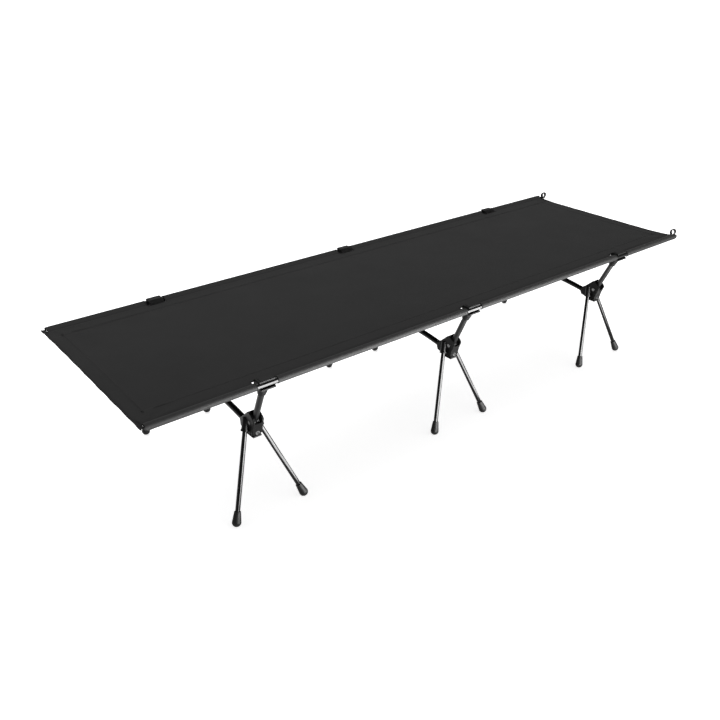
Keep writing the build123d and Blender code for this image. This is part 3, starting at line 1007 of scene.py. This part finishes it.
for side, sign in sides.items():
    body = f"{side}_side"
    piece, sectionLength = makeCover(side, sign)
    acrossHalf = np.linspace(0.0, railY, 60)
    coverLength = sum(np.mean(endLine(acrossHalf, way, sign)) for way in (-1, 1))
    stitching = makeStitching(side, sign)
    ends = [makeEndBinding(side, sign, way) for way in (-1, 1)]
    windows = makeWindowBindings(side, sign)
    slitShades = makeSlitShades(side, sign)
    loop = makeTapeLoop(side, sign)
    for across in (piece, stitching, *ends):
        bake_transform(across)
    for fixed in (windows, slitShades, loop):
        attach(fixed, body)
    plugs = makeEndPlugs(side, sign)
    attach(plugs, body)
    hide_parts(f"{side}_rail_end_caps")
    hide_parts(f"{side}_rail_sleeve", "deck_panel")
    print("cover:", side, "half", round(float(sectionLength), 4), "m across")


studio = {
    "floorSize": 80.0,
    "floorTone": 0.86,
    "floorToneRange": 0.02,
    "floorNoise": 3.0,
    "floorRoughness": 0.85,
    "floorRoughnessRange": 0.05,
    "floorSpecular": 0.1,
    "floorGlow": 0.75,
    "worldTone": 0.92,
    "worldStrength": 0.48,
    "skyStrength": 1.0,
    "sunPlace": (0.6, 2.2, 4.0),
    "sunStrength": 2.2,
    "sunAngle": 1.1,
    "frontPlace": (0.60, -1.75, 0.36),
    "frontSize": (2.3, 0.72),
    "frontPower": 260.0,
    "lowPlace": (0.0, -1.22, 0.004),
    "lowSize": (1.5, 1.35),
    "lowPower": 230.0,
}


def makeFloor():
    # Pale floor that glows a little, so that it stays evenly white to the horizon
    shade = Shade("studioFloor")
    tone = shade.noise(shade.objectPlace(), studio["floorNoise"], 3.0)
    light = studio["floorTone"] + studio["floorToneRange"]
    shade.set(Base_Color=shade.mixColour(tone, grey(studio["floorTone"]), grey(light)))
    shade.set(Roughness=studio["floorRoughness"] + studio["floorRoughnessRange"] * tone)
    shade.set(Specular_IOR_Level=studio["floorSpecular"])
    shade.set(Emission_Color=grey(1.0), Emission_Strength=studio["floorGlow"])
    half = studio["floorSize"] / 2
    corners = np.array([[-half, -half, 0.0], [half, -half, 0.0], [half, half, 0.0], [-half, half, 0.0]])
    makePiece("studio_floor", corners, [np.arange(4)], shade.material)


def makeLamp(name, kind, place, target, strength):
    data = bpy.data.lights.new(name, kind)
    data.energy = strength
    lamp = bpy.data.objects.new(name, data)
    lamp.location = place
    lamp.rotation_euler = (Vector(target) - Vector(place)).to_track_quat("-Z", "Y").to_euler()
    bpy.context.scene.collection.objects.link(lamp)
    return lamp


def makeStudio():
    makeFloor()
    sun = makeLamp("backSun", "SUN", studio["sunPlace"], (0.0, 0.0, 0.0), studio["sunStrength"])
    sun.data.angle = studio["sunAngle"]
    x, y, z = studio["frontPlace"]
    front = makeLamp("frontSoftbox", "AREA", (x, y, z), (x, 0.0, z), studio["frontPower"])
    front.data.shape = "RECTANGLE"
    front.data.size, front.data.size_y = studio["frontSize"]
    x, y, z = studio["lowPlace"]
    low = makeLamp("floorStrip", "AREA", (x, y, z), (x, y, z + 1.0), studio["lowPower"])
    low.data.shape = "RECTANGLE"
    low.data.size, low.data.size_y = studio["lowSize"]
    for lamp in (front, low):
        # Seen only as the long highlights on the glossy tubes
        lamp.visible_camera = False
        lamp.visible_diffuse = False
    world = bpy.data.worlds.new("studioWorld")
    world.use_nodes = True
    tree = world.node_tree
    around = tree.nodes["Background"]
    around.inputs["Color"].default_value = grey(studio["worldTone"])
    around.inputs["Strength"].default_value = studio["worldStrength"]
    # The camera sees a white wall, while the tubes go on mirroring the dimmer surround
    seen = tree.nodes.new("ShaderNodeBackground")
    seen.inputs["Color"].default_value = grey(1.0)
    seen.inputs["Strength"].default_value = studio["skyStrength"]
    rays = tree.nodes.new("ShaderNodeLightPath")
    mix = tree.nodes.new("ShaderNodeMixShader")
    tree.links.new(rays.outputs["Is Camera Ray"], mix.inputs[0])
    tree.links.new(around.outputs[0], mix.inputs[1])
    tree.links.new(seen.outputs[0], mix.inputs[2])
    tree.links.new(mix.outputs[0], tree.nodes["World Output"].inputs["Surface"])
    bpy.context.scene.world = world
    bpy.context.scene.view_settings.view_transform = "Standard"
    print("studio: floor, broad sun, front softbox and a pale surround")


camera = {
    "azimuth": -38.92,
    "elevation": 28.66,
    "roll": -0.20,
    "distance": 2.15,
    "target": (-0.2382, -0.2357, 0.2408),
    "lens": 39.35,
    "shift": (-0.0422, 0.0172),
}


def makeCamera():
    azimuth = math.radians(camera["azimuth"])
    elevation = math.radians(camera["elevation"])
    roll = math.radians(camera["roll"])
    level = math.cos(elevation)
    back = Vector((math.sin(azimuth) * level, -math.cos(azimuth) * level, math.sin(elevation)))
    right = Vector((math.cos(azimuth), math.sin(azimuth), 0.0))
    up = back.cross(right)
    rolledRight = right * math.cos(roll) + up * math.sin(roll)
    rolledUp = up * math.cos(roll) - right * math.sin(roll)
    data = bpy.data.cameras.new("studioCamera")
    data.lens = camera["lens"]
    data.shift_x, data.shift_y = camera["shift"]
    viewer = bpy.data.objects.new("studioCamera", data)
    turn = Matrix((rolledRight, rolledUp, back)).transposed().to_4x4()
    place = Vector(camera["target"]) + back * camera["distance"]
    viewer.matrix_world = Matrix.Translation(place) @ turn
    bpy.context.scene.collection.objects.link(viewer)
    bpy.context.scene.camera = viewer
    print("camera: lens", camera["lens"], "mm")


makeStudio()
makeCamera()
